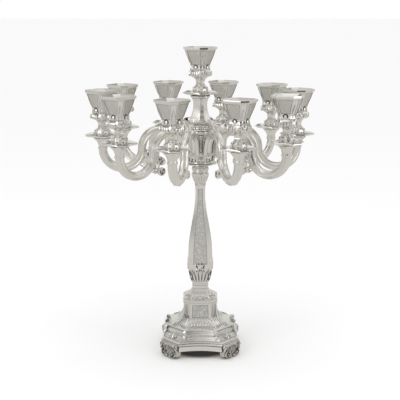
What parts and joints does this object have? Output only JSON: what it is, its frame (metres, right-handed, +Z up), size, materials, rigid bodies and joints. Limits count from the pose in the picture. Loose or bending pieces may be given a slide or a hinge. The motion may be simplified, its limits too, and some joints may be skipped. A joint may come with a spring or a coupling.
{
  "type": "candelabrum",
  "caption": "Silvered table candelabrum: chamfered square base, octagonal baluster, turning ring of S-shaped arms, lift-off drip pans and candle cups.",
  "frame": {"origin": "on the table, under the middle of the base", "axes": "+Z up the stem; -Y is the front, towards a long side of the base; +X right"},
  "size_m": [0.4056, 0.3946, 0.55],
  "materials": {
    "silver_base": "polished silver plate with satin fields",
    "silver_stem": "polished silver plate with satin fields",
    "silver_arms": "polished silver plate",
    "silver_pans": "mirror polished silver plate",
    "silver_cups": "silver plate, polished rims and oxidised recesses",
    "cast_feet": "oxidised cast silver plate",
    "steel_fixings": "plain zinc",
    "brass_washer": "turned brass"
  },
  "bodies": {
    "stand": {"foot_back_right": "cast_feet", "foot_back_left": "cast_feet", "foot_front_left": "cast_feet", "foot_front_right": "cast_feet", "foot_screws": "steel_fixings", "base_plinth": "silver_base", "base_pedestal": "silver_base", "pedestal_cap": "silver_base", "base_collar": "silver_base", "baluster_shaft": "silver_stem", "shaft_capital": "silver_stem", "tie_rod": "steel_fixings", "base_nut": "steel_fixings"},
    "bearing": {"thrust_washer": "brass_washer"},
    "branches": {"branch_hub": "silver_arms", "hub_vase": "silver_stem", "arm_screws": "steel_fixings", "arm_01": "silver_arms", "arm_02": "silver_arms", "arm_03": "silver_arms", "arm_04": "silver_arms", "arm_05": "silver_arms", "arm_06": "silver_arms", "arm_07": "silver_arms", "arm_08": "silver_arms", "arm_09": "silver_arms", "arm_10": "silver_arms"},
    "nozzle_01": {"drip_pan_01": "silver_pans", "cup_knop_01": "silver_cups", "candle_cup_01": "silver_cups"},
    "nozzle_02": {"drip_pan_02": "silver_pans", "cup_knop_02": "silver_cups", "candle_cup_02": "silver_cups"},
    "nozzle_03": {"drip_pan_03": "silver_pans", "cup_knop_03": "silver_cups", "candle_cup_03": "silver_cups"},
    "nozzle_04": {"drip_pan_04": "silver_pans", "cup_knop_04": "silver_cups", "candle_cup_04": "silver_cups"},
    "nozzle_05": {"drip_pan_05": "silver_pans", "cup_knop_05": "silver_cups", "candle_cup_05": "silver_cups"},
    "nozzle_06": {"drip_pan_06": "silver_pans", "cup_knop_06": "silver_cups", "candle_cup_06": "silver_cups"},
    "nozzle_07": {"drip_pan_07": "silver_pans", "cup_knop_07": "silver_cups", "candle_cup_07": "silver_cups"},
    "nozzle_08": {"drip_pan_08": "silver_pans", "cup_knop_08": "silver_cups", "candle_cup_08": "silver_cups"},
    "nozzle_09": {"drip_pan_09": "silver_pans", "cup_knop_09": "silver_cups", "candle_cup_09": "silver_cups"},
    "nozzle_10": {"drip_pan_10": "silver_pans", "cup_knop_10": "silver_cups", "candle_cup_10": "silver_cups"},
    "nozzle_11": {"drip_pan_11": "silver_pans", "cup_knop_11": "silver_cups", "candle_cup_11": "silver_cups"}
  },
  "joints": [
    {"name": "branch_lift", "type": "slide", "parent": "stand", "child": "bearing", "axis": [0, 0, 1], "range_m": [0, 0.04]},
    {"name": "branch_turn", "type": "hinge", "parent": "bearing", "child": "branches", "pos_m": [0, 0, 0.3435], "axis": [0, 0, 1], "continuous": true},
    {"name": "nozzle_01_lift", "type": "slide", "parent": "branches", "child": "nozzle_01", "axis": [0, 0, 1], "range_m": [0, 0.03]},
    {"name": "nozzle_02_lift", "type": "slide", "parent": "branches", "child": "nozzle_02", "axis": [0, 0, 1], "range_m": [0, 0.03]},
    {"name": "nozzle_03_lift", "type": "slide", "parent": "branches", "child": "nozzle_03", "axis": [0, 0, 1], "range_m": [0, 0.03]},
    {"name": "nozzle_04_lift", "type": "slide", "parent": "branches", "child": "nozzle_04", "axis": [0, 0, 1], "range_m": [0, 0.03]},
    {"name": "nozzle_05_lift", "type": "slide", "parent": "branches", "child": "nozzle_05", "axis": [0, 0, 1], "range_m": [0, 0.03]},
    {"name": "nozzle_06_lift", "type": "slide", "parent": "branches", "child": "nozzle_06", "axis": [0, 0, 1], "range_m": [0, 0.03]},
    {"name": "nozzle_07_lift", "type": "slide", "parent": "branches", "child": "nozzle_07", "axis": [0, 0, 1], "range_m": [0, 0.03]},
    {"name": "nozzle_08_lift", "type": "slide", "parent": "branches", "child": "nozzle_08", "axis": [0, 0, 1], "range_m": [0, 0.03]},
    {"name": "nozzle_09_lift", "type": "slide", "parent": "branches", "child": "nozzle_09", "axis": [0, 0, 1], "range_m": [0, 0.03]},
    {"name": "nozzle_10_lift", "type": "slide", "parent": "branches", "child": "nozzle_10", "axis": [0, 0, 1], "range_m": [0, 0.03]},
    {"name": "nozzle_11_lift", "type": "slide", "parent": "branches", "child": "nozzle_11", "axis": [0, 0, 1], "range_m": [0, 0.03]}
  ]
}
